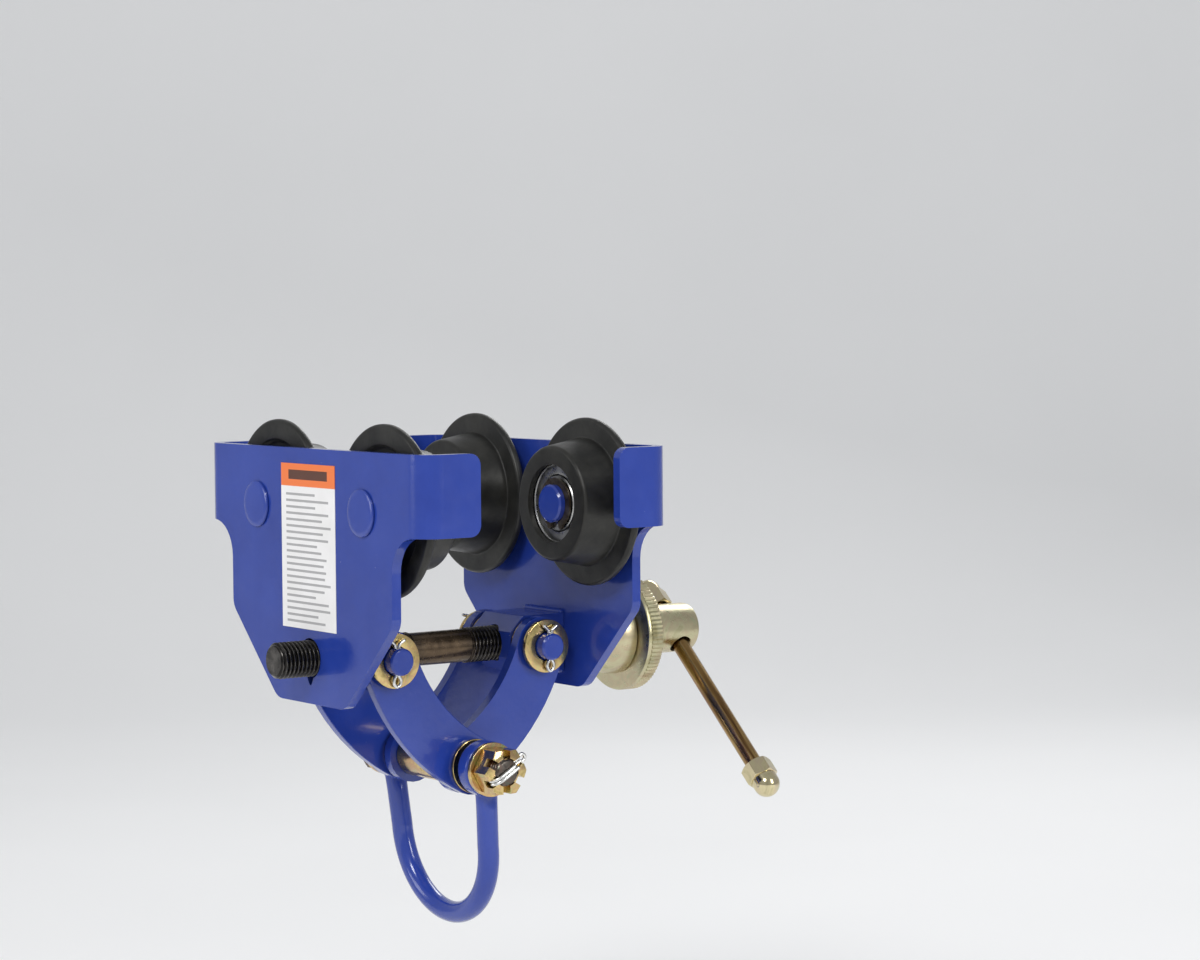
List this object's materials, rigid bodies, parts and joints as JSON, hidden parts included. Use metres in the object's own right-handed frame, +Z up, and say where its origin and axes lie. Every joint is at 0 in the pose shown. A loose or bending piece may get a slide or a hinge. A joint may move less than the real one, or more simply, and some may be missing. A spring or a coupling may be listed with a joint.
{
  "type": "beam trolley",
  "caption": "Push-type I-beam trolley: flanged wheels on bent side plates, screw width adjustment with tommy bar, scissor arms and a hanging shackle.",
  "frame": {"origin": "midway between the four wheels, 26 mm below the axle axes, where the treads stand on the beam's flange", "axes": "+X along the beam, +Y across it from the front plate (spindle end) to the rear plate (knob side), +Z up"},
  "size_m": [0.182, 0.2261, 0.2275],
  "materials": {
    "blue_paint": "gloss royal blue paint",
    "yellow_zinc": "yellow-passivated zinc plate, slightly iridescent",
    "wheel_black": "satin black, machined treads",
    "bearing_steel": "ground bearing steel",
    "black_oxide": "oiled black oxide",
    "bright_wire": "bright plated wire",
    "label": "printed vinyl sticker"
  },
  "bodies": {
    "front_side": {"front_plate": "blue_paint", "front_trunnion_block": "blue_paint", "front_axle_left": "blue_paint", "front_bearing_inner_left": "bearing_steel", "front_circlip_left": "black_oxide", "front_inner_washer_left": "yellow_zinc", "front_outer_washer_left": "yellow_zinc", "front_split_pin_left": "bright_wire", "front_axle_right": "blue_paint", "front_bearing_inner_right": "bearing_steel", "front_circlip_right": "black_oxide", "front_inner_washer_right": "yellow_zinc", "front_outer_washer_right": "yellow_zinc", "front_split_pin_right": "bright_wire", "label": "label"},
    "front_wheel_left": {"front_wheel_left": "wheel_black", "front_bearing_outer_left": "bearing_steel"},
    "front_wheel_right": {"front_wheel_right": "wheel_black", "front_bearing_outer_right": "bearing_steel"},
    "rear_wheel_left": {"rear_wheel_left": "wheel_black", "rear_bearing_outer_left": "bearing_steel"},
    "rear_wheel_right": {"rear_wheel_right": "wheel_black", "rear_bearing_outer_right": "bearing_steel"},
    "front_arms": {"front_arm_left": "blue_paint", "front_arm_right": "blue_paint"},
    "bolt_group": {"load_bolt": "yellow_zinc", "castle_nut": "yellow_zinc", "nut_split_pin": "bright_wire", "spacer_tube": "yellow_zinc", "middle_washer_left": "yellow_zinc", "middle_washer_right": "yellow_zinc", "side_washer_left": "yellow_zinc", "side_washer_right": "yellow_zinc", "head_washer": "yellow_zinc", "nut_washer": "yellow_zinc"},
    "shackle": {"shackle": "blue_paint"},
    "rear_arms": {"rear_arm_left": "blue_paint", "rear_arm_right": "blue_paint"},
    "rear_side": {"rear_plate": "blue_paint", "rear_trunnion_block": "blue_paint", "rear_axle_left": "blue_paint", "rear_bearing_inner_left": "bearing_steel", "rear_circlip_left": "black_oxide", "rear_inner_washer_left": "yellow_zinc", "rear_outer_washer_left": "yellow_zinc", "rear_split_pin_left": "bright_wire", "rear_axle_right": "blue_paint", "rear_bearing_inner_right": "bearing_steel", "rear_circlip_right": "black_oxide", "rear_inner_washer_right": "yellow_zinc", "rear_outer_washer_right": "yellow_zinc", "rear_split_pin_right": "bright_wire"},
    "collar": {"domed_collar": "yellow_zinc"},
    "screw": {"spindle": "black_oxide", "knob": "yellow_zinc", "hub_pin": "black_oxide"},
    "tommy_bar": {"tommy_bar": "yellow_zinc", "cap_nut_lower": "yellow_zinc", "cap_nut_upper": "yellow_zinc"}
  },
  "joints": [
    {"name": "front_wheel_left_roll", "type": "hinge", "parent": "front_side", "child": "front_wheel_left", "pos_m": [-0.044, 0, 0.026], "axis": [0, 1, 0], "continuous": true},
    {"name": "front_wheel_right_roll", "type": "hinge", "parent": "front_side", "child": "front_wheel_right", "pos_m": [0.044, 0, 0.026], "axis": [0, 1, 0], "continuous": true},
    {"name": "rear_wheel_left_roll", "type": "hinge", "parent": "rear_side", "child": "rear_wheel_left", "pos_m": [-0.044, 0, 0.026], "axis": [0, 1, 0], "continuous": true},
    {"name": "rear_wheel_right_roll", "type": "hinge", "parent": "rear_side", "child": "rear_wheel_right", "pos_m": [0.044, 0, 0.026], "axis": [0, 1, 0], "continuous": true},
    {"name": "front_arms_pivot", "type": "hinge", "parent": "front_side", "child": "front_arms", "pos_m": [0, -0.0423, -0.0394], "axis": [1, 0, 0], "range_deg": [-11.6, 11.6]},
    {"name": "bolt_pivot", "type": "hinge", "parent": "front_arms", "child": "bolt_group", "pos_m": [0, 0, -0.0892], "axis": [1, 0, 0], "range_deg": [-11.7, 11.7]},
    {"name": "shackle_swing", "type": "hinge", "parent": "bolt_group", "child": "shackle", "pos_m": [0, 0, -0.0892], "axis": [1, 0, 0], "range_deg": [-90, 80]},
    {"name": "rear_arms_pivot", "type": "hinge", "parent": "front_arms", "child": "rear_arms", "pos_m": [0, 0, -0.0892], "axis": [1, 0, 0], "range_deg": [-23.4, 23.4]},
    {"name": "rear_side_pivot", "type": "hinge", "parent": "rear_arms", "child": "rear_side", "pos_m": [0, 0.0423, -0.0394], "axis": [1, 0, 0], "range_deg": [-11.7, 11.7]},
    {"name": "screw_travel", "type": "slide", "parent": "front_side", "child": "collar", "axis": [0, 1, 0], "range_m": [-0.0101, 0.0101]},
    {"name": "spindle_spin", "type": "hinge", "parent": "collar", "child": "screw", "pos_m": [0, 0, -0.0394], "axis": [0, 1, 0], "range_deg": [-1800, 1800]},
    {"name": "tommy_bar_slide", "type": "slide", "parent": "screw", "child": "tommy_bar", "axis": [-0.7349, 0, 0.6782], "range_m": [0, 0.074]}
  ],
  "couplings": [
    {"joint": "spindle_spin", "follows": "front_arms_pivot", "ratio": 155.04},
    {"joint": "screw_travel", "follows": "front_arms_pivot", "m_per_rad": 0.049351},
    {"joint": "bolt_pivot", "follows": "front_arms_pivot", "ratio": -1},
    {"joint": "rear_arms_pivot", "follows": "front_arms_pivot", "ratio": -2},
    {"joint": "rear_side_pivot", "follows": "front_arms_pivot", "ratio": 1}
  ]
}
